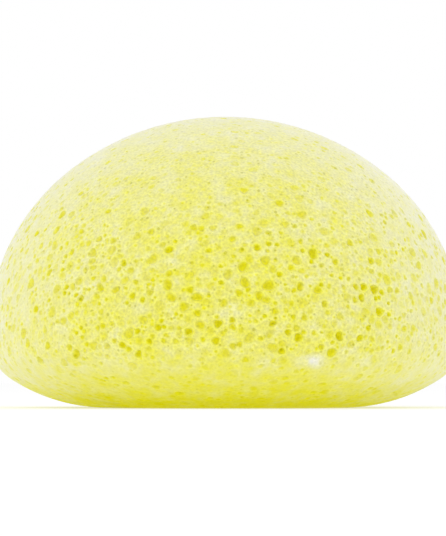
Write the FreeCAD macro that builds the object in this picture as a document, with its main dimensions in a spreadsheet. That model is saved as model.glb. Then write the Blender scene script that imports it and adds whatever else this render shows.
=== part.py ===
"""Half-round konjac face sponge: one foam casting, modelled as the zones that make it up.

The foam sets in a bowl-shaped mould. Its surface sets to a pale skin over a softer open-cell
core. The skin is three zones: a crown that the hand presses, a flank below it, and the rolled
rim with the flat back that formed above the mould.
Millimetres, +Z up, origin at the middle of the flat back that the sponge stands on.
"""

import FreeCAD
import Part
import Sketcher

import math
import os

# Driving dimensions, in millimetres and degrees.
SIZES = {
    "body_diameter": 80,
    "body_height": 49,
    "girth_height": 12,
    "flat_diameter": 40,
    "shoulder_angle": 50,
    "rim_angle": 57,
    "crown_depth": 15,
    "skin_thickness": 2,
    "core_clearance": 0.3,
}

# Levels and insets that several pieces share, worked out from the sheet.
GIRTH = "Sizes.girth_height"
CROWN_SEAM = "Sizes.body_height - Sizes.crown_depth"
OUTSIDE = "0"
SKIN_INSIDE = "Sizes.skin_thickness"
CORE_OUTSIDE = "Sizes.skin_thickness + Sizes.core_clearance"

# How a sketch names the ends of an edge, its own origin and its two axes.
START, END, CENTRE = 1, 2, 3
SKETCH_ORIGIN = (-1, 1)
ACROSS_AXIS, UP_AXIS = -1, -2

UP = FreeCAD.Vector(0, 0, 1)

doc = FreeCAD.newDocument("KonjacSponge")


def make_sheet():
    """The spreadsheet of driving dimensions, one alias to a row."""
    table = doc.addObject("Spreadsheet::Sheet", "Sizes")
    for row, (alias, number) in enumerate(SIZES.items(), start=1):
        table.set(f"A{row}", alias)
        table.set(f"B{row}", str(number))
        table.setAlias(f"B{row}", alias)
    doc.recompute()
    return table


sheet = make_sheet()


def value(formula):
    """What a formula over the sheet's cells comes to."""
    return float(sheet.evalExpression(formula))


def oval_radii(width, height, angle):
    """Radii of the two tangent arcs of a quarter oval: the arc at its side, then at its end.

    The side arc leaves the girth upright and turns by the angle, the end arc turns the rest.
    """
    c, s = math.cos(angle), math.sin(angle)
    side = (height - width * (1 - s) / c) / (s - (1 - s) * (1 - c) / c)
    end = (width - side * (1 - c)) / c
    return side, end


def section_arcs(inset):
    """Middle across and up, radius, start and end angle of the half section's arcs, from the flat up."""
    girth = value(GIRTH)
    radius = value("Sizes.body_diameter / 2") - inset
    flat = value("Sizes.flat_diameter / 2")
    top = value("Sizes.body_height") - inset
    shoulder_turn = math.radians(value("Sizes.shoulder_angle"))
    rim_turn = math.radians(value("Sizes.rim_angle"))
    shoulder, crown = oval_radii(radius, top - girth, shoulder_turn)
    rim, underside = oval_radii(radius - flat, girth - inset, rim_turn)
    quarter = math.pi / 2
    return {
        "underside": (flat, inset + underside, underside, -quarter, -rim_turn),
        "rim": (radius - rim, girth, rim, -rim_turn, 0.0),
        "shoulder": (radius - shoulder, girth, shoulder, 0.0, shoulder_turn),
        "crown": (0.0, top - crown, crown, shoulder_turn, quarter),
    }


def attach(body, name, plane_role):
    """A new sketch on one of the body's own origin planes."""
    sketch = body.newObject("Sketcher::SketchObject", name)
    plane = next(f for f in body.Origin.OriginFeatures if f.Role == plane_role)
    sketch.AttachmentSupport = (plane, "")
    sketch.MapMode = "FlatFace"
    sketch.Visibility = False
    return sketch


def rule(sketch, *words):
    """Adds a constraint to a sketch."""
    return sketch.addConstraint(Sketcher.Constraint(*words))


def drive(sketch, formula, *words):
    """Adds a constraint whose last word, its size, follows a formula over the sheet."""
    sketch.setExpression(f"Constraints[{rule(sketch, *words, value(formula))}]", formula)


def section_sketch(body, name, inset_formula):
    """The sponge's half section, drawn in by an inset from its outer surface."""
    sketch = attach(body, name, "XZ_Plane")
    inset = value(inset_formula)
    edge = {}
    for label, (across, height, radius, start, end) in section_arcs(inset).items():
        circle = Part.Circle(FreeCAD.Vector(across, height, 0), UP, radius)
        edge[label] = sketch.addGeometry(Part.ArcOfCircle(circle, start, end))
    top = FreeCAD.Vector(0, value("Sizes.body_height") - inset, 0)
    foot = FreeCAD.Vector(0, inset, 0)
    flat_end = FreeCAD.Vector(value("Sizes.flat_diameter / 2"), inset, 0)
    edge["axis"] = sketch.addGeometry(Part.LineSegment(top, foot))
    edge["flat"] = sketch.addGeometry(Part.LineSegment(foot, flat_end))

    rule(sketch, "Tangent", edge["underside"], END, edge["rim"], START)
    rule(sketch, "Coincident", edge["rim"], END, edge["shoulder"], START)
    rule(sketch, "Tangent", edge["shoulder"], END, edge["crown"], START)
    rule(sketch, "Coincident", edge["crown"], END, edge["axis"], START)
    rule(sketch, "Coincident", edge["axis"], END, edge["flat"], START)
    rule(sketch, "Coincident", edge["flat"], END, edge["underside"], START)
    rule(sketch, "Horizontal", edge["rim"], CENTRE, edge["rim"], END)
    rule(sketch, "Horizontal", edge["shoulder"], CENTRE, edge["rim"], END)
    rule(sketch, "Vertical", edge["underside"], CENTRE, edge["underside"], START)
    rule(sketch, "PointOnObject", edge["crown"], CENTRE, UP_AXIS)
    rule(sketch, "PointOnObject", edge["axis"], START, UP_AXIS)
    rule(sketch, "PointOnObject", edge["axis"], END, UP_AXIS)
    rule(sketch, "Horizontal", edge["flat"])
    if inset_formula == OUTSIDE:
        rule(sketch, "PointOnObject", edge["flat"], END, ACROSS_AXIS)
    else:
        drive(sketch, inset_formula, "DistanceY", *SKETCH_ORIGIN, edge["flat"], START)
    drive(sketch, f"Sizes.body_diameter / 2 - ({inset_formula})",
          "DistanceX", *SKETCH_ORIGIN, edge["rim"], END)
    drive(sketch, GIRTH, "DistanceY", *SKETCH_ORIGIN, edge["rim"], END)
    drive(sketch, f"Sizes.body_height - ({inset_formula})",
          "DistanceY", *SKETCH_ORIGIN, edge["axis"], START)
    drive(sketch, "Sizes.flat_diameter / 2", "DistanceX", *SKETCH_ORIGIN, edge["flat"], END)
    for label in ("shoulder", "rim"):
        turned = rule(sketch, "Angle", edge[label], math.radians(value(f"Sizes.{label}_angle")))
        sketch.setExpression(f"Constraints[{turned}]", f"Sizes.{label}_angle")
    return sketch


def level_circle(body, name, height_formula, radius_formula):
    """A sketch of one circle about the axis, on a level plane at a height."""
    sketch = attach(body, name, "XY_Plane")
    sketch.setExpression("AttachmentOffset.Base.z", height_formula)
    circle = sketch.addGeometry(Part.Circle(FreeCAD.Vector(), UP, value(radius_formula)))
    rule(sketch, "Coincident", circle, CENTRE, *SKETCH_ORIGIN)
    drive(sketch, radius_formula, "Radius", circle)
    return sketch


def revolve(body, kind, sketch):
    """Turns a half section about the sponge's axis, adding or cutting."""
    feature = body.newObject(kind, f"{sketch.Name}_turned")
    feature.Profile = sketch
    feature.ReferenceAxis = (sketch, ["V_Axis"])
    feature.Angle = 360
    return feature


def cut_beyond(body, name, level, upwards):
    """Cuts away everything above, or below, a level plane."""
    pocket = body.newObject("PartDesign::Pocket", name)
    pocket.Profile = level_circle(body, f"{name}_circle", level, "Sizes.body_diameter")
    pocket.Type = "ThroughAll"
    pocket.Reversed = upwards


def skin_zone(name, floor, ceiling):
    """The stretch of the skin between two seams; None leaves that end whole."""
    body = doc.addObject("PartDesign::Body", name)
    revolve(body, "PartDesign::Revolution", section_sketch(body, f"{name}_outer", OUTSIDE))
    revolve(body, "PartDesign::Groove", section_sketch(body, f"{name}_inner", SKIN_INSIDE))
    if floor:
        cut_beyond(body, f"{name}_floor", floor, upwards=False)
    if ceiling:
        cut_beyond(body, f"{name}_ceiling", ceiling, upwards=True)
    return body


def foam_core(name):
    """The foam inside the skin, clear of it all round but for the foot it stands on."""
    body = doc.addObject("PartDesign::Body", name)
    revolve(body, "PartDesign::Revolution", section_sketch(body, f"{name}_section", CORE_OUTSIDE))
    pad = body.newObject("PartDesign::Pad", f"{name}_foot")
    pad.Profile = level_circle(body, f"{name}_foot_circle", SKIN_INSIDE,
                               "Sizes.flat_diameter / 2 - Sizes.core_clearance")
    # The foot crosses the clearance and runs as far again into the foam above.
    pad.setExpression("Length", "2 * Sizes.core_clearance")
    return body


def export(pieces):
    """Checks every object, then writes each piece to its own file."""
    doc.recompute()
    faulty = [item.Name for item in doc.Objects if {"Invalid", "Error"} & set(item.State)]
    if faulty:
        raise SystemExit(f"objects in error: {', '.join(faulty)}")
    for piece in pieces:
        if piece.Shape.isNull() or not piece.Shape.isValid() or len(piece.Shape.Solids) != 1:
            raise SystemExit(f"{piece.Label}: not one valid solid")
    os.makedirs("parts", exist_ok=True)
    for piece in pieces:
        piece.Shape.exportStep(f"parts/{piece.Label}.step")
        print(f"{piece.Label}: {piece.Shape.Volume / 1000:.2f} cm3, {len(piece.Shape.Faces)} faces")


def main():
    pieces = [
        skin_zone("base_skin", None, GIRTH),
        skin_zone("flank_skin", GIRTH, CROWN_SEAM),
        skin_zone("crown_skin", CROWN_SEAM, None),
        foam_core("foam_core"),
    ]
    export(pieces)


main()
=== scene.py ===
# %% [markdown]
# # A half-round konjac face sponge
# A konjac sponge is a block of plant-fibre jelly, frozen in a bowl-shaped mould and thawed again,
# so that the ice leaves a foam of round pores behind. This lesson dresses the imported solids of one:
# the solids give the size, and Blender gives the porous, translucent-looking yellow foam.
# The frame comes first, and its box is kept: it gives the sizes.

# %% Load the frame
import itertools
import math
import random

import bpy
import numpy as np
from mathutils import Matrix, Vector, noise
from mathutils.kdtree import KDTree


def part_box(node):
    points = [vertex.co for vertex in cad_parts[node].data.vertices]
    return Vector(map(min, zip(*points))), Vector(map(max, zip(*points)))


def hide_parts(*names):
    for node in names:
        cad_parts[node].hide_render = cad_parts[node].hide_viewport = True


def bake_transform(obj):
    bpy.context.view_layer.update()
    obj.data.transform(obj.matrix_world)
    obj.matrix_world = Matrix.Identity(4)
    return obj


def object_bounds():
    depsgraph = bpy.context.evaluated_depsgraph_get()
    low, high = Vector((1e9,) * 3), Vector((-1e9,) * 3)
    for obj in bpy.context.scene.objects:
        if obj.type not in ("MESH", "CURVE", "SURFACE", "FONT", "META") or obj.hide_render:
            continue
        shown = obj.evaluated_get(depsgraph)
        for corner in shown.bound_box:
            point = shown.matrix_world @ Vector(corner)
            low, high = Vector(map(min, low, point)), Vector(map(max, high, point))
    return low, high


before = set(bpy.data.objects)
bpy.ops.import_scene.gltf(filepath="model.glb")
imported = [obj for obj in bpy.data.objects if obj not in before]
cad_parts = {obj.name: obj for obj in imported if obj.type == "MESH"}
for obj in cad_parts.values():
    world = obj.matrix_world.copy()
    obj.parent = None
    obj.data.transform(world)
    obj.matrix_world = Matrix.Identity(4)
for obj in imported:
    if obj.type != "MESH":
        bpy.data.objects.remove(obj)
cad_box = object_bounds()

MM = 0.001
MM2_PER_CM2 = 100

# %% [markdown]
# ## The outline
# Seen from the side, the sponge is a dome with a rolled rim and a flat back. Such an outline could be
# a hand-drawn curve, but tangent arcs are what a mould maker would use, and they give an exact normal
# at every point. Two arcs make the dome and two more the rolled edge: each pair is a quarter oval.
# Width, height and girth are read off the frame, so the foam fits the solids that it stands for. The
# flat's radius and the arcs' turns don't show in a box, so they are given here.

# %% Sizes, in millimetres
low, high = (np.array(corner) / MM for corner in cad_box)
BODY_RADIUS = (high[0] - low[0]) / 2
BODY_HEIGHT = high[2]
GIRTH_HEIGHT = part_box("base_skin")[1].z / MM
FLAT_RADIUS = 20.0
SHOULDER_TURN = math.radians(50)
RIM_TURN = math.radians(57)
print(f"radius {BODY_RADIUS:.2f}, height {BODY_HEIGHT:.2f}, girth at {GIRTH_HEIGHT:.2f} mm")


# %% The section, from the top of the crown to the middle of the flat back
# Points to an arc and to the flat, many enough to read any place between them.
ARC_POINTS, FLAT_POINTS = 400, 200


def oval_radii(width, height, angle):
    """Radii of a quarter oval's side arc, which turns by the angle, and of its end arc."""
    cosine, sine = math.cos(angle), math.sin(angle)
    side = (height - width * (1 - sine) / cosine) / (sine - (1 - sine) * (1 - cosine) / cosine)
    return side, (width - side * (1 - cosine)) / cosine


def arc(across, height, radius, start, end):
    """Points on an arc, each with the upward tilt of its outward normal."""
    tilt = np.linspace(start, end, ARC_POINTS)
    return np.stack([across + radius * np.cos(tilt), height + radius * np.sin(tilt), tilt], axis=1)


shoulder, crown = oval_radii(BODY_RADIUS, BODY_HEIGHT - GIRTH_HEIGHT, SHOULDER_TURN)
rim, underside = oval_radii(BODY_RADIUS - FLAT_RADIUS, GIRTH_HEIGHT, RIM_TURN)
flat = np.zeros((FLAT_POINTS, 3))
flat[:, 0] = np.linspace(FLAT_RADIUS, 0, FLAT_POINTS)
flat[:, 2] = -math.pi / 2
section = np.concatenate([
    arc(0, BODY_HEIGHT - crown, crown, math.pi / 2, SHOULDER_TURN),
    arc(BODY_RADIUS - shoulder, GIRTH_HEIGHT, shoulder, SHOULDER_TURN, 0)[1:],
    arc(BODY_RADIUS - rim, GIRTH_HEIGHT, rim, 0, -RIM_TURN)[1:],
    arc(FLAT_RADIUS, underside, underside, -RIM_TURN, -math.pi / 2)[1:],
    flat[1:],
])
across, up, tilt = section.T
steps = np.hypot(np.diff(across), np.diff(up))
along = np.concatenate([[0], np.cumsum(steps)])
print(f"section {along[-1]:.1f} mm long, arcs {crown:.1f}, {shoulder:.1f}, {rim:.1f}, {underside:.1f} mm")

# %% [markdown]
# ## An even skin of quads
# The pores are cut as real pits, so the skin needs small quads of one size everywhere. A globe's
# latitude and longitude grid bunches up at its poles. A cube blown up to a ball does not, and sliding
# its points along the section until each ring holds its fair share of the area keeps the quads even.
# The back, which is seldom seen, gets a smaller share of them.

# %% A ball of quads
QUADS_PER_EDGE = 288


def quad_ball(per_edge):
    """Unit directions and quads of a cube with this many quads to an edge, blown up to a ball."""
    stride = per_edge + 1
    row, column = np.meshgrid(np.arange(stride), np.arange(stride), indexing="ij")
    points, quads, offset = [], [], 0
    step = np.arange(per_edge)
    for axis in range(3):
        for end in (0, per_edge):
            grid = np.empty((stride, stride, 3), int)
            grid[..., axis] = end
            grid[..., (axis + 1) % 3] = row
            grid[..., (axis + 2) % 3] = column
            corner = offset + step[:, None] * stride + step[None, :]
            turn = [corner, corner + stride, corner + stride + 1, corner + 1]
            quads.append(np.stack(turn if end else turn[::-1], axis=-1).reshape(-1, 4))
            points.append(grid.reshape(-1, 3))
            offset += stride ** 2
    lattice = np.concatenate(points)
    key = (lattice[:, 0] * stride + lattice[:, 1]) * stride + lattice[:, 2]
    _, first, merged = np.unique(key, return_index=True, return_inverse=True)
    ball = np.tan((lattice[first] / per_edge * 2 - 1) * math.pi / 4)
    return ball / np.linalg.norm(ball, axis=1, keepdims=True), merged[np.concatenate(quads)]


ball, quads = quad_ball(QUADS_PER_EDGE)
print(len(ball), "points,", len(quads), "quads")

# %% Slide the points along the section
# The back's share of quads beside the dome's. They begin to thin out where the skin faces
# 30 degrees below level, and are thinnest where it faces straight down.
BACK_SHARE = 0.3
middle = (across[1:] + across[:-1]) / 2
facing_down = np.clip(-np.sin((tilt[1:] + tilt[:-1]) / 2) * 2 - 1, 0, 1)
ring_area = 2 * math.pi * middle * steps
share = np.concatenate([[0], np.cumsum(ring_area * (1 - (1 - BACK_SHARE) * facing_down))])
reach = np.interp((1 - ball[:, 2]) / 2, share / share[-1], along)
turn = np.arctan2(ball[:, 1], ball[:, 0])


def place(reach, turn):
    """Points on the smooth surface and their outward normals."""
    ring, height, lean = (np.interp(reach, along, values) for values in (across, up, tilt))
    around = np.stack([np.cos(turn), np.sin(turn)], axis=-1)
    points = np.concatenate([around * ring[..., None], height[..., None]], axis=-1)
    normals = np.concatenate([around * np.cos(lean)[..., None], np.sin(lean)[..., None]], axis=-1)
    return points, normals


points, normals = place(reach, turn)
QUAD_SIZE = math.sqrt(share[-1] / len(quads))
print(f"surface {ring_area.sum() / MM2_PER_CM2:.0f} cm2, quads about {QUAD_SIZE:.3f} mm on the dome")

# %% [markdown]
# ## Where the pores lie
# Freezing grows bubbles of every size: a few large ones, more middling ones and very many small ones,
# with only a thin wall of jelly left between them. The way to copy that is to throw them one by
# one, large first, and keep each that finds room. The mould shaped the pores too: the sides of the
# dome have the largest, the crown finer ones, and the rolled rim and the back an almost closed skin.
# Some pores are wide open and others lie under a thin veil of skin, so each gets an openness. The open
# ones come in clusters. Towards the left and right ends the veil is thicker, and the paler pores there
# are painted sheen of the outline.

# %% Sizes and places of the pores
SEED = 7
# Least wall between two pores in mm, and how near their mouths may come, 1 for just touching.
WALL = 0.07
CROWDING = 0.9
# Heights in mm over which the rim turns to the dome and the dome to the fine crown, then distances
# from the middle over which the veil thickens, as painted sheen of the outline, and how thick it gets.
RIM_LOW, RIM_HIGH = 6.0, 10.5
FINE_LOW, FINE_HIGH = 18.0, 41.0
VEILED_SIDES = (20.0, 36.0)
VEIL = 0.75
# How wide the clusters of open pores are in mm, and how far they sway the openness.
CLUSTER_MM = 4.0
CLUSTER_SWAY = 0.8
# How far the draws lean to small mouths and to veiled pores, where 1 is not at all.
SMALL_LEAN, VEILED_LEAN = 1.5, 1.3
# How far a full veil closes a pore and thins out the pores, how open the pores of the rim are
# beside those of the sides, and how much smaller the crown's are.
VEIL_CLOSES, VEIL_THINS = 0.8, 0.5
RIM_OPENNESS = 0.4
CROWN_SHRINK = 0.2
# How far a mouth is out of round, least and most in mouth radii: as an oval and in three lobes.
OVAL_RANGE, LOBE_RANGE = (0, 0.16), (0.03, 0.12)
# Each kind: least and most mouth radius in mm, number to a square cm on the sides, and the
# share of them on the crown and on the rolled rim.
PORE_KINDS = (
    ("large", 0.58, 0.95, 23.0, 0.12, 0.2),
    ("middling", 0.36, 0.58, 60.0, 0.35, 0.35),
    ("small", 0.18, 0.36, 90.0, 0.5, 0.30),
)


def rise(start, end, value):
    """0 up to the start, 1 from the end on, and eased between. The end may be the smaller one."""
    part = np.clip((value - start) / (end - start), 0.0, 1.0)
    return part * part * (3 - 2 * part)


# %% Room for a pore
# Edge in mm of the cells in which neighbours are looked up, wider than two large pores need.
CELL = 2.4
NEXT_DOOR = tuple(itertools.product((-1, 0, 1), repeat=3))
taken = {}


def has_room(spot, radius):
    """Whether a pore of this radius keeps its wall to the pores already there."""
    home = tuple(math.floor(place_mm / CELL) for place_mm in spot)
    for door in NEXT_DOOR:
        cell = tuple(here + step for here, step in zip(home, door))
        for other, other_radius in taken.get(cell, ()):
            if math.dist(spot, other) < CROWDING * (radius + other_radius) + WALL:
                return False
    taken.setdefault(home, []).append((spot, radius))
    return True


# %% Throw the pores
rng = random.Random(SEED)
area_to = np.concatenate([[0], np.cumsum(ring_area)])
pores = []
for kind, least, most, per_cm2, on_crown, on_rim in PORE_KINDS:
    for _ in range(int(per_cm2 * area_to[-1] / MM2_PER_CM2)):
        spot_reach = float(np.interp(rng.random() * area_to[-1], area_to, along))
        spot, normal = place(np.array(spot_reach), np.array(rng.uniform(-math.pi, math.pi)))
        side = rise(RIM_LOW, RIM_HIGH, spot[2])
        fine = rise(FINE_LOW, FINE_HIGH, spot[2])
        veiled = max(fine, VEIL * rise(*VEILED_SIDES, abs(spot[0])))
        radius = least + (most - least) * rng.random() ** SMALL_LEAN
        thinned = max(fine, VEIL_THINS * veiled)
        chance = (on_rim + (1 - on_rim) * side) * (1 + (on_crown - 1) * thinned)
        cluster = 1 + CLUSTER_SWAY * noise.noise(Vector(spot) / CLUSTER_MM)
        on_side = RIM_OPENNESS + (1 - RIM_OPENNESS) * side
        openness = rng.random() ** VEILED_LEAN * on_side * (1 - VEIL_CLOSES * veiled) * cluster
        oval = (rng.uniform(*OVAL_RANGE), rng.uniform(0, math.pi))
        lobe = (rng.uniform(*LOBE_RANGE), rng.uniform(0, math.tau))
        if rng.random() < chance and has_room(tuple(spot), radius):
            mouth_radius = radius * (1 - CROWN_SHRINK * fine)
            pores.append((spot, normal, mouth_radius, min(openness, 1.0), oval + lobe))
    print(kind, "pores so far:", len(pores))

# %% [markdown]
# ## Cutting the pits
# A bump map only tilts the light, and from the side its pits go flat. Here the points inside a
# pore's mouth are moved down onto a small bowl, and the points nearest the mouth are drawn onto its edge,
# so the edge stays crisp. Where two pores overlap, the deeper bowl wins.
# Four numbers are kept for every point to colour by later. The first is how yellow the foam is: low
# on the skin and highest in an open pore. The others are a painted highlight on the wall round each
# mouth, the fuzz of fibres on the skin, and how thickly it is dotted with pores too fine to cut.

# %% What a pore does to the skin round it
# Width of a pore's raised lip and of its soft yellow edge, and rise of the lip, in mouth radii.
LIP_WIDTH = 0.45
SOFT_EDGE = 0.85
LIP_RISE = 0.05
# A bowl's depth and its yellow when veiled, and what full openness adds; depths are in mouth radii.
VEILED_DEPTH, OPEN_DEPTH = 0.15, 0.8
VEILED_YELLOW, OPEN_YELLOW = 0.2, 0.9
# Within these shares of the mouth a pore is yellowest and barest of fuzz; then how bare an open one is.
YELLOW_HEART, BARE_HEART = 0.1, 0.4
FUZZ_LOST = 0.9
# Points this near a mouth, in quads, are drawn onto its edge. Fewer points than these make no pit.
SNAP_QUADS = 0.5
FEWEST_POINTS = 4
# A direction between the axes, from which bearings round a mouth are measured.
SLANT = (0.31, 0.87, 0.38)
# In millimetres: roughness of the skin, heights over which the fuzz sets in, and the painted highlight
# on the wall round a mouth.
GRAIN_RISE = 0.01
FUZZ_FROM, FUZZ_TO = 1.0, 9.0
WALL_HIGHLIGHT_MM = 0.14
# How thickly the rim is dotted beside the sides, and how much thinner the ends are, as painted sheen
# of the outline.
RIM_DOTTED, END_THINNER = 0.4, 0.4

# %% Numbers kept for every point, and a tree to look points up in
tree = KDTree(len(points))
for number, point in enumerate(points):
    tree.insert(point, number)
tree.balance()
grain = np.random.default_rng(SEED).normal(0, GRAIN_RISE, len(points))
foam = points + normals * grain[:, None]
yellow = np.zeros(len(points))
wall_highlight = np.zeros(len(points))
sides = rise(*VEILED_SIDES, np.abs(points[:, 0]))
dotted = RIM_DOTTED + (1 - RIM_DOTTED) * rise(RIM_LOW, RIM_HIGH, points[:, 2])
pored = dotted * (1 - END_THINNER * sides)
dug = np.zeros(len(points))
fuzz = rise(FUZZ_FROM, FUZZ_TO, points[:, 2])
print(f"grain up to {np.abs(grain).max():.2f} mm high")

# %% Move the points of each pore
for spot, normal, radius, openness, (oval, oval_turn, lobe, lobe_turn) in pores:
    span = radius * (1 + oval + lobe) * (1 + 2 * LIP_WIDTH) + QUAD_SIZE
    near = np.array([number for _, number, _ in tree.find_range(spot, span)])
    if len(near) < FEWEST_POINTS:
        continue
    east = np.cross(normal, SLANT)
    east /= np.linalg.norm(east)
    north = np.cross(normal, east)
    offset = points[near] - spot
    eastward, northward, lift = offset @ east, offset @ north, offset @ normal
    bearing = np.arctan2(northward, eastward)
    mouth = radius * (1 + oval * np.cos(2 * (bearing - oval_turn))
                      + lobe * np.cos(3 * (bearing - lobe_turn)))
    # Distance from the middle of the pore, where 1 is the edge of its mouth.
    away = np.hypot(eastward, northward) / mouth
    away = np.where(np.abs(away - 1) < SNAP_QUADS * QUAD_SIZE / mouth, 1.0, away)
    bowl_angle = math.pi / 2 * np.minimum(away, 1)
    depth = (VEILED_DEPTH + OPEN_DEPTH * openness) * mouth * np.cos(bowl_angle)
    out = np.where(away <= 1, mouth * np.sin(bowl_angle), mouth * away)
    ridge = np.clip(1 - (away - 1) / LIP_WIDTH, 0, 1) * (away >= 1)
    height = lift - depth + LIP_RISE * radius * openness * ridge ** 2
    moved = (spot + np.outer(out * np.cos(bearing), east) + np.outer(out * np.sin(bearing), north)
             + np.outer(height, normal))
    inside = (away <= 1) & (depth > dug[near])
    lip = (away > 1) & (away < 1 + LIP_WIDTH) & (dug[near] == 0)
    touched = inside | lip
    foam[near[touched]] = moved[touched]
    dug[near[inside]] = depth[inside]
    strength = min(VEILED_YELLOW + OPEN_YELLOW * openness, 1.0)
    yellow[near] = np.maximum(yellow[near], strength * rise(1 + SOFT_EDGE, YELLOW_HEART, away))
    fuzz[near] *= 1 - FUZZ_LOST * openness * rise(1.0, BARE_HEART, away)
    # The wall just outside each mouth gets a painted highlight.
    wall_gap = (away - 1) * mouth - WALL_HIGHLIGHT_MM
    wall_highlight[near] = np.maximum(wall_highlight[near], strength * np.exp(-(wall_gap / WALL_HIGHLIGHT_MM) ** 2))
print(f"{len(pores)} pores, the deepest {np.linalg.norm(foam - points, axis=1).max():.2f} mm")

# %% Unfold the few quads that turned over where two bowls meet
# Their points and their neighbours' keep their depth and give up their sideways move, which is
# what folds a quad.
UNFOLD_PASSES = 4
for _ in range(UNFOLD_PASSES):
    quad = foam[quads]
    facing = np.cross(quad[:, 2] - quad[:, 0], quad[:, 3] - quad[:, 1])
    folded = (facing * normals[quads[:, 0]]).sum(axis=1) <= 0
    turned = np.zeros(len(points), bool)
    turned[quads[folded]] = True
    loose = np.unique(quads[turned[quads].any(axis=1)])
    foam[loose] = points[loose] - normals[loose] * dug[loose, None]
    print(int(folded.sum()), "quads unfolded")
foam[:, 2] = np.maximum(foam[:, 2], 0)

# %% [markdown]
# ## How yellow the skin is, with painted shade and painted sheen
# The thin skin over the crown is pale and the sides are a little fuller. The rolled rim by the back is
# the fullest, and that deep yellow is painted shade under the rim. Towards both ends the skin is
# painted paler, as the sheen along the outline, and the middle of the back is paler again. On the
# front of the rim is a whitish mark with a faint tail.

# %% Skin between the pores
# Height in millimetres and how yellow the skin is there, from 0 for whitish to 1 for a deep pore.
# The fuller yellow towards the foot is painted shade under the rolled rim.
SKIN_AND_RIM_SHADE_BY_HEIGHT = ((0, 0.95), (0.8, 0.9), (2, 0.8), (4, 0.7), (8, 0.58), (16, 0.53), (30, 0.52))
# Painted sheen: how much paler the ends are painted, the right end besides, and the foot of both;
# then where, in mm from the middle and in height.
END_PAINTED_SHEEN, RIGHT_PAINTED_SHEEN, FOOT_PALE = 0.055, 0.045, 0.14
PAINTED_SHEEN_FROM_TO = (12.0, 32.0)
FOOT_FROM_TO = (8.0, 2.0)
# The middle of the back, the radii over which it turns to the rim, and the height it keeps below.
BACK_SKIN = 0.74
BACK_FROM_TO = (24.0, 8.0)
BACK_BELOW = 1.0
heights, fullness = np.array(SKIN_AND_RIM_SHADE_BY_HEIGHT).T
skin = np.interp(points[:, 2], heights, fullness)
# Painted sheen of the outline: paler towards both ends, more at their foot and on the right.
end_painted_sheen = END_PAINTED_SHEEN + FOOT_PALE * rise(*FOOT_FROM_TO, points[:, 2])
skin -= end_painted_sheen * rise(*PAINTED_SHEEN_FROM_TO, np.abs(points[:, 0]))
skin -= RIGHT_PAINTED_SHEEN * rise(*PAINTED_SHEEN_FROM_TO, points[:, 0])
on_back = points[:, 2] < BACK_BELOW
back_middle = rise(*BACK_FROM_TO, np.hypot(points[:, 0], points[:, 1])) * on_back
skin += (BACK_SKIN - skin) * back_middle
yellow = skin + (1 - skin) * yellow
print(f"skin from {skin.min():.2f} to {skin.max():.2f}")

# %% A whitish mark
# Each blot: middle across and up, half width and half height, and how white it is. Then where a
# blot has faded out and where it is full, in its half sizes.
WHITISH_MARK_BLOTS = (
    ((14.2, 7.65), (1.4, 1.2), 0.82),
    ((15.4, 7.8), (1.2, 0.9), 0.3),
    ((11.6, 7.7), (1.3, 0.9), 0.45),
)
WHITISH_MARK_FADE = (1.5, 0.3)
front = points[:, 1] < 0
for middle_at, size, whiteness in WHITISH_MARK_BLOTS:
    away = np.linalg.norm((points[:, (0, 2)] - middle_at) / np.array(size), axis=1)
    yellow -= yellow * whiteness * front * rise(*WHITISH_MARK_FADE, away)
print(f"yellow from {yellow.min():.2f} to {yellow.max():.2f}, mean {yellow.mean():.2f}")

# %% [markdown]
# ## From points to a mesh
# Half a million quads are far too many for a loop over vertices, so the arrays go into the mesh in one
# call each. The place of every point before any squeeze is kept with it: the foam's colours are looked
# up by that, so they stay on the foam when it is pressed. The map for baking is two flat discs, the
# dome seen from above and the underside seen from below.

# %% Make the mesh
mesh = bpy.data.meshes.new("konjac_sponge")
mesh.vertices.add(len(foam))
mesh.vertices.foreach_set("co", (foam * MM).ravel())
mesh.loops.add(quads.size)
mesh.loops.foreach_set("vertex_index", quads.ravel().astype(np.int32))
mesh.polygons.add(len(quads))
mesh.polygons.foreach_set("loop_start", np.arange(0, quads.size, 4, dtype=np.int32))
mesh.polygons.foreach_set("use_smooth", np.ones(len(quads), bool))
mesh.update(calc_edges=True)
for name, values in (("yellow", yellow), ("wall_highlight", wall_highlight), ("fuzz", fuzz), ("pored", pored)):
    mesh.attributes.new(name, "FLOAT", "POINT").data.foreach_set("value", values.astype(np.float32))
rest_places = mesh.attributes.new("rest_mm", "FLOAT_VECTOR", "POINT")
rest_places.data.foreach_set("vector", foam.astype(np.float32).ravel())
print("mesh is sound:", not mesh.validate())

# %% Lay out the map
# In shares of the map: middle across of the dome's disc and the underside's, middle up, and radius.
DOME_ACROSS, UNDERSIDE_ACROSS = 0.25, 0.75
DISC_UP = 0.5
DISC_RADIUS = 0.235
girth_reach = float(np.interp(-GIRTH_HEIGHT, -up, along))
on_top = (reach[quads].mean(axis=1) < girth_reach)[:, None]
corner_reach = reach[quads]
corner_turn = turn[quads]
disc = np.where(on_top, corner_reach / girth_reach, (along[-1] - corner_reach) / (along[-1] - girth_reach))
disc_middle = np.where(on_top, DOME_ACROSS, UNDERSIDE_ACROSS)
u = disc_middle + DISC_RADIUS * disc * np.cos(corner_turn)
v = DISC_UP + DISC_RADIUS * disc * np.sin(corner_turn)
bake_map = mesh.uv_layers.new(name="OFBake")
bake_map.data.foreach_set("uv", np.stack([u, v], axis=-1).astype(np.float32).ravel())
sponge = bpy.data.objects.new("konjac_sponge", mesh)
bpy.context.scene.collection.objects.link(sponge)
print(int(on_top.sum()), "quads on the disc of the dome")

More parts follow.
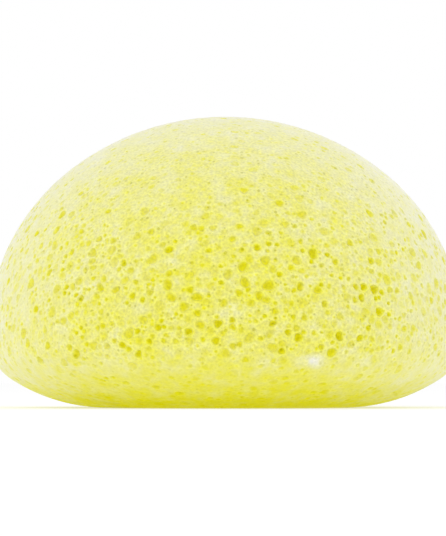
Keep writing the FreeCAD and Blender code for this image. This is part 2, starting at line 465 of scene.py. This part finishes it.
# %% [markdown]
# ## Konjac foam
# Konjac jelly is glucomannan fibre swollen with water, here tinted yellow. Its moulded and frozen skin
# is pale and matte, with an index close to water's. Light that has gone round inside a pore has lost
# its blue, so the pores show a deep, clean yellow rather than grey shade. One ramp from whitish to
# deep yellow therefore gives every colour, and subsurface scattering lets the light through the thin
# walls.
# Fine fibres stand up from the skin and catch the light at a glance. A sheen gives that pale haze
# towards the outline, where a plain matte surface would only darken.

# %% Helpers for colours and nodes
def srgb(code):
    """A linear colour from an sRGB hex code."""
    parts = [int(code[i:i + 2], 16) / 255 for i in (1, 3, 5)]
    return tuple(c / 12.92 if c <= 0.04045 else ((c + 0.055) / 1.055) ** 2.4 for c in parts) + (1.0,)


def add_node(material, kind, inputs=None, **settings):
    """Adds a node, with its settings, and its inputs as values or as links from other sockets."""
    made = material.node_tree.nodes.new(kind)
    for name, setting in settings.items():
        setattr(made, name, setting)
    for socket, source in (inputs or {}).items():
        if isinstance(source, bpy.types.NodeSocket):
            material.node_tree.links.new(source, made.inputs[socket])
        else:
            made.inputs[socket].default_value = source
    return made


# %% The foam's material and what it reads off the mesh
KONJAC_IOR = 1.36
SCATTER_MM = 3.0
foam_material = bpy.data.materials.new("konjac_foam")
foam_material.use_nodes = True
foam_material.node_tree.nodes.clear()
rest = add_node(foam_material, "ShaderNodeAttribute", attribute_name="rest_mm").outputs["Vector"]
KEPT_NUMBERS = ("yellow", "pored", "wall_highlight", "fuzz")
yellowness, pored_share, wall_highlight_share, fuzz_share = (
    add_node(foam_material, "ShaderNodeAttribute", attribute_name=name).outputs["Fac"]
    for name in KEPT_NUMBERS
)
print("konjac foam is coloured by", KEPT_NUMBERS)

# %% Mottling
# Each row is the size in millimetres of its patches and how far they sway the yellow. Then the span
# that most of a noise texture's values lie in.
MOTTLING = ((6.0, 0.12), (2.8, 0.28), (1.4, 0.14), (0.5, 0.04))
NOISE_LOW, NOISE_HIGH = 0.25, 0.75
for patch_mm, sway in MOTTLING:
    patches = add_node(foam_material, "ShaderNodeTexNoise",
                       {"Vector": rest, "Scale": 1 / patch_mm, "Detail": 1.0})
    swayed = add_node(foam_material, "ShaderNodeMapRange",
                      {"Value": patches.outputs["Fac"], "From Min": NOISE_LOW,
                       "From Max": NOISE_HIGH, "To Min": -sway / 2, "To Max": sway / 2})
    yellowness = add_node(foam_material, "ShaderNodeMath",
                          {0: yellowness, 1: swayed.outputs[0]}, operation="ADD").outputs[0]
print("mottled in patches of", [patch_mm for patch_mm, _ in MOTTLING], "mm")

# %% Dots, the mouths of pores too fine to cut
# A cell's random colour says whether it has a dot, and how wide. A dot is yellower, and darker with
# painted shade inside its tiny pore.
DOT_CELL_MM = 0.9
DOTLESS_SHARE = 0.4
# In cells: radius of the least dot, too small to show, and of the widest; then how far outside and
# inside its edge a dot fades.
DOT_LEAST, DOT_MOST = -0.1, 0.34
DOT_OUTSIDE, DOT_INSIDE = 0.06, -0.1
DOT_YELLOW, DOT_SHADE = 0.18, -0.2
dots = add_node(foam_material, "ShaderNodeTexVoronoi", {"Vector": rest, "Scale": 1 / DOT_CELL_MM})
dot_pick = add_node(foam_material, "ShaderNodeSeparateColor", {"Color": dots.outputs["Color"]})
dot_radius = add_node(foam_material, "ShaderNodeMapRange",
                      {"Value": dot_pick.outputs["Red"], "From Min": DOTLESS_SHARE,
                       "To Min": DOT_LEAST, "To Max": DOT_MOST})
dot_gap = add_node(foam_material, "ShaderNodeMath",
                   {0: dots.outputs["Distance"], 1: dot_radius.outputs[0]}, operation="SUBTRACT")
dot = add_node(foam_material, "ShaderNodeMapRange",
               {"Value": dot_gap.outputs[0], "From Min": DOT_OUTSIDE, "From Max": DOT_INSIDE,
                "To Max": 1.0},
               interpolation_type="SMOOTHSTEP")
dot_share = add_node(foam_material, "ShaderNodeMath",
                     {0: dot.outputs[0], 1: pored_share}, operation="MULTIPLY").outputs[0]
yellowness = add_node(foam_material, "ShaderNodeMath",
                      {0: dot_share, 1: DOT_YELLOW, 2: yellowness}, operation="MULTIPLY_ADD").outputs[0]
print(f"dots up to {2 * DOT_MOST * DOT_CELL_MM:.2f} mm wide")

# %% One ramp from whitish skin to deep pore
YELLOWS = (
    (0.0, "#f7f6ea"),
    (0.25, "#f3f1b4"),
    (0.5, "#f1ee8a"),
    (0.75, "#f0ec50"),
    (0.9, "#efea20"),
    (1.0, "#eee900"),
)
ramp = add_node(foam_material, "ShaderNodeValToRGB", {"Fac": yellowness})
elements = ramp.color_ramp.elements
READY_STOPS = len(elements)
for number, (stop, code) in enumerate(YELLOWS):
    element = elements[number] if number < READY_STOPS else elements.new(stop)
    element.position = stop
    element.color = srgb(code)
print(len(elements), "stops from skin to pore")

# %% Painted light and shade: speckle, dots and highlighted walls
# The speckle is painted light and shade of the skin's fine bumps, from a darker to a lighter fleck.
SPECKLE_MM = 0.42
SPECKLE_LOW, SPECKLE_HIGH = 0.3, 0.7
SPECKLE_DARKER, SPECKLE_LIGHTER = -0.15, 0.09
# How much brighter the painted highlight on the walls round the mouths is.
WALL_HIGHLIGHT_GAIN = 0.15
speckle_noise = add_node(foam_material, "ShaderNodeTexNoise", {"Vector": rest, "Scale": 1 / SPECKLE_MM})
speckle = add_node(foam_material, "ShaderNodeMapRange",
                   {"Value": speckle_noise.outputs["Fac"], "From Min": SPECKLE_LOW,
                    "From Max": SPECKLE_HIGH, "To Min": SPECKLE_DARKER,
                    "To Max": SPECKLE_LIGHTER})
value = add_node(foam_material, "ShaderNodeMath",
                 {0: dot.outputs[0], 1: DOT_SHADE, 2: speckle.outputs[0]}, operation="MULTIPLY_ADD")
value = add_node(foam_material, "ShaderNodeMath",
                 {0: value.outputs[0], 1: pored_share, 2: 1.0}, operation="MULTIPLY_ADD")
value = add_node(foam_material, "ShaderNodeMath",
                 {0: wall_highlight_share, 1: WALL_HIGHLIGHT_GAIN, 2: value.outputs[0]}, operation="MULTIPLY_ADD")
# By number, because names repeat: 6 and 7 are the mix's two colours, and output 2 is the mixed one.
colour = add_node(foam_material, "ShaderNodeMix",
                  {0: 1.0, 6: ramp.outputs["Color"], 7: value.outputs[0]},
                  data_type="RGBA", blend_type="MULTIPLY")
print(f"walls {WALL_HIGHLIGHT_GAIN:.0%} brighter, dots {-DOT_SHADE:.0%} darker")

# %% A matte, fibrous surface that lets light through
# Real fibres are far finer than this, which is as coarse as they need to be to show.
GRAIN_MM, GRAIN_DEPTH, GRAIN_STRENGTH = 0.3, 0.1, 0.4
# A wet-looking gloss would be wrong: thawed jelly is matte. Red and green light goes far into it.
MATTE_ROUGHNESS, FAINT_SHINE = 0.62, 0.1
FUZZ_ROUGHNESS = 0.55
SCATTER_SHARE, SCATTER_BY_COLOUR = 0.6, (1.0, 0.95, 0.1)
fibres = add_node(foam_material, "ShaderNodeTexNoise",
                  {"Vector": rest, "Scale": 1 / GRAIN_MM, "Detail": 2.0})
bump = add_node(foam_material, "ShaderNodeBump",
                {"Height": fibres.outputs["Fac"], "Strength": GRAIN_STRENGTH,
                 "Distance": GRAIN_DEPTH * MM})
shader = add_node(foam_material, "ShaderNodeBsdfPrincipled",
                  {"Base Color": colour.outputs[2], "Normal": bump.outputs["Normal"],
                   "Roughness": MATTE_ROUGHNESS, "IOR": KONJAC_IOR,
                   "Specular IOR Level": FAINT_SHINE,
                   "Sheen Weight": fuzz_share, "Sheen Roughness": FUZZ_ROUGHNESS,
                   "Subsurface Weight": SCATTER_SHARE, "Subsurface Radius": SCATTER_BY_COLOUR,
                   "Subsurface Scale": SCATTER_MM * MM})
add_node(foam_material, "ShaderNodeOutputMaterial", {"Surface": shader.outputs["BSDF"]})
mesh.materials.append(foam_material)
print("konjac foam has", len(foam_material.node_tree.nodes), "nodes")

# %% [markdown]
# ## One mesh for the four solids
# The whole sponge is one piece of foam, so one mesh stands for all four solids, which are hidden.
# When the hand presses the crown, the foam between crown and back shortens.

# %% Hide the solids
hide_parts("base_skin", "flank_skin", "crown_skin", "foam_core")
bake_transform(sponge)
print(sponge.name, "stands for all four solids")

# %% [markdown]
# ## Studio
# The photograph is a product shot on pure white, lit from all sides. A white world gives that even light,
# and a large soft lamp on the upper left, with a weak one on the right, keeps the left a little brighter.
# The sponge stands on a cast sheet of opal acrylic, milky and matte. It is a light table with a faint
# glow, which lifts the shade under the rolled rim and keeps the contact shadow thin. The glow only
# makes up what the table's shade lacks to white. Table and world are both white where they are seen,
# and a little less as light.

# %% Which rays see the white
def seen_share(material):
    """1 for a ray that shows the background: from the camera, off a gloss or through glass."""
    rays = add_node(material, "ShaderNodeLightPath").outputs
    seen = rays["Is Camera Ray"]
    for other in ("Is Glossy Ray", "Is Transmission Ray"):
        either = add_node(material, "ShaderNodeMath", {0: seen, 1: rays[other]}, operation="MAXIMUM")
        seen = either.outputs[0]
    return seen


# %% Light table
# Half the width of the table in metres, and how many millimetres it lies below the sponge.
FLOOR = 3.0
FLOOR_GAP = 0.02
# The glow that lights the sponge, and the glow that is seen.
TABLE_GLOW, SEEN_GLOW = 0.39, 0.44
floor_mesh = bpy.data.meshes.new("studio_floor")
corners = [(-FLOOR, -FLOOR, 0), (FLOOR, -FLOOR, 0), (FLOOR, FLOOR, 0), (-FLOOR, FLOOR, 0)]
floor_mesh.from_pydata(corners, [], [(0, 1, 2, 3)])
floor = bpy.data.objects.new("studio_floor", floor_mesh)
floor.location.z = -FLOOR_GAP * MM
bpy.context.scene.collection.objects.link(floor)
acrylic = bpy.data.materials.new("opal_acrylic")
acrylic.use_nodes = True
acrylic.node_tree.nodes.clear()
opal = add_node(acrylic, "ShaderNodeBsdfDiffuse", {"Color": srgb("#cfcfcf")})
glow_level = add_node(acrylic, "ShaderNodeMapRange",
                      {"Value": seen_share(acrylic), "To Min": TABLE_GLOW, "To Max": SEEN_GLOW})
glow = add_node(acrylic, "ShaderNodeEmission", {"Strength": glow_level.outputs[0]})
lit = add_node(acrylic, "ShaderNodeAddShader", {0: opal.outputs["BSDF"], 1: glow.outputs["Emission"]})
add_node(acrylic, "ShaderNodeOutputMaterial", {"Surface": lit.outputs["Shader"]})
floor_mesh.materials.append(acrylic)
print(f"light table {2 * FLOOR:.0f} m wide")

# %% World
# The level that lights the sponge, and the level that is seen, which is white.
WORLD_LEVEL, SEEN_LEVEL = 0.87, 1.0
world = bpy.data.worlds.new("white_studio")
world.use_nodes = True
world.node_tree.nodes.clear()
world_level = add_node(world, "ShaderNodeMapRange",
                       {"Value": seen_share(world), "To Min": WORLD_LEVEL, "To Max": SEEN_LEVEL})
sky = add_node(world, "ShaderNodeBackground",
               {"Color": srgb("#ffffff"), "Strength": world_level.outputs[0]})
add_node(world, "ShaderNodeOutputWorld", {"Surface": sky.outputs["Background"]})
bpy.context.scene.world = world
print("world lights at", WORLD_LEVEL, "and is seen at", SEEN_LEVEL)

# %% Lamps
# Each lamp: name, place, width and height in metres, and power in watts.
LAMPS = (
    ("soft_key", (-0.55, -0.75, 0.85), 0.8, 0.8, 1.6),
    ("soft_fill", (0.9, -0.4, 0.4), 0.8, 0.8, 0.35),
)
LAMP_AIM = Vector((0, 0, 0.02))
for name, place_at, wide, tall, watts in LAMPS:
    lamp_data = bpy.data.lights.new(name, "AREA")
    lamp_data.shape = "RECTANGLE"
    lamp_data.size = wide
    lamp_data.size_y = tall
    lamp_data.energy = watts
    lamp = bpy.data.objects.new(name, lamp_data)
    lamp.location = place_at
    lamp.rotation_mode = "QUATERNION"
    lamp.rotation_quaternion = (LAMP_AIM - lamp.location).to_track_quat("-Z", "Y")
    bpy.context.scene.collection.objects.link(lamp)
    print(name, "of", watts, "W")

# %% [markdown]
# ## Camera
# The photograph looks at the sponge through a long lens from just above the table, up by about a degree,
# and its frame cuts off both ends of the rim. One pixel there is a known number of millimetres at the
# sponge, which sets the distance.

# %% Place the camera
PHOTO_WIDTH, PHOTO_HEIGHT = 446, 536
PIXELS_PER_MM = 5.925
AXIS_PIXEL, BASE_PIXEL = 225.5, 407.4
CAMERA_TILT = math.radians(-1.4)
LENS_MM, SENSOR_MM = 300, 36
camera_data = bpy.data.cameras.new("product_lens")
camera_data.lens = LENS_MM
camera_data.sensor_width = SENSOR_MM
# The picture is taller than wide, so the sensor's width lies along its height.
distance = PHOTO_HEIGHT / PIXELS_PER_MM * camera_data.lens / camera_data.sensor_width
aim = Vector((PHOTO_WIDTH / 2 - AXIS_PIXEL, 0, BASE_PIXEL - PHOTO_HEIGHT / 2)) / PIXELS_PER_MM
camera = bpy.data.objects.new("product_lens", camera_data)
camera.location = (aim + Vector((0, -math.cos(CAMERA_TILT), math.sin(CAMERA_TILT))) * distance) * MM
camera.rotation_mode = "QUATERNION"
camera.rotation_quaternion = (aim * MM - camera.location).to_track_quat("-Z", "Y")
bpy.context.scene.collection.objects.link(camera)
bpy.context.scene.camera = camera
bpy.context.scene.view_settings.view_transform = "Standard"
print(f"camera {distance:.0f} mm away, aimed {aim.z:.1f} mm above the table")
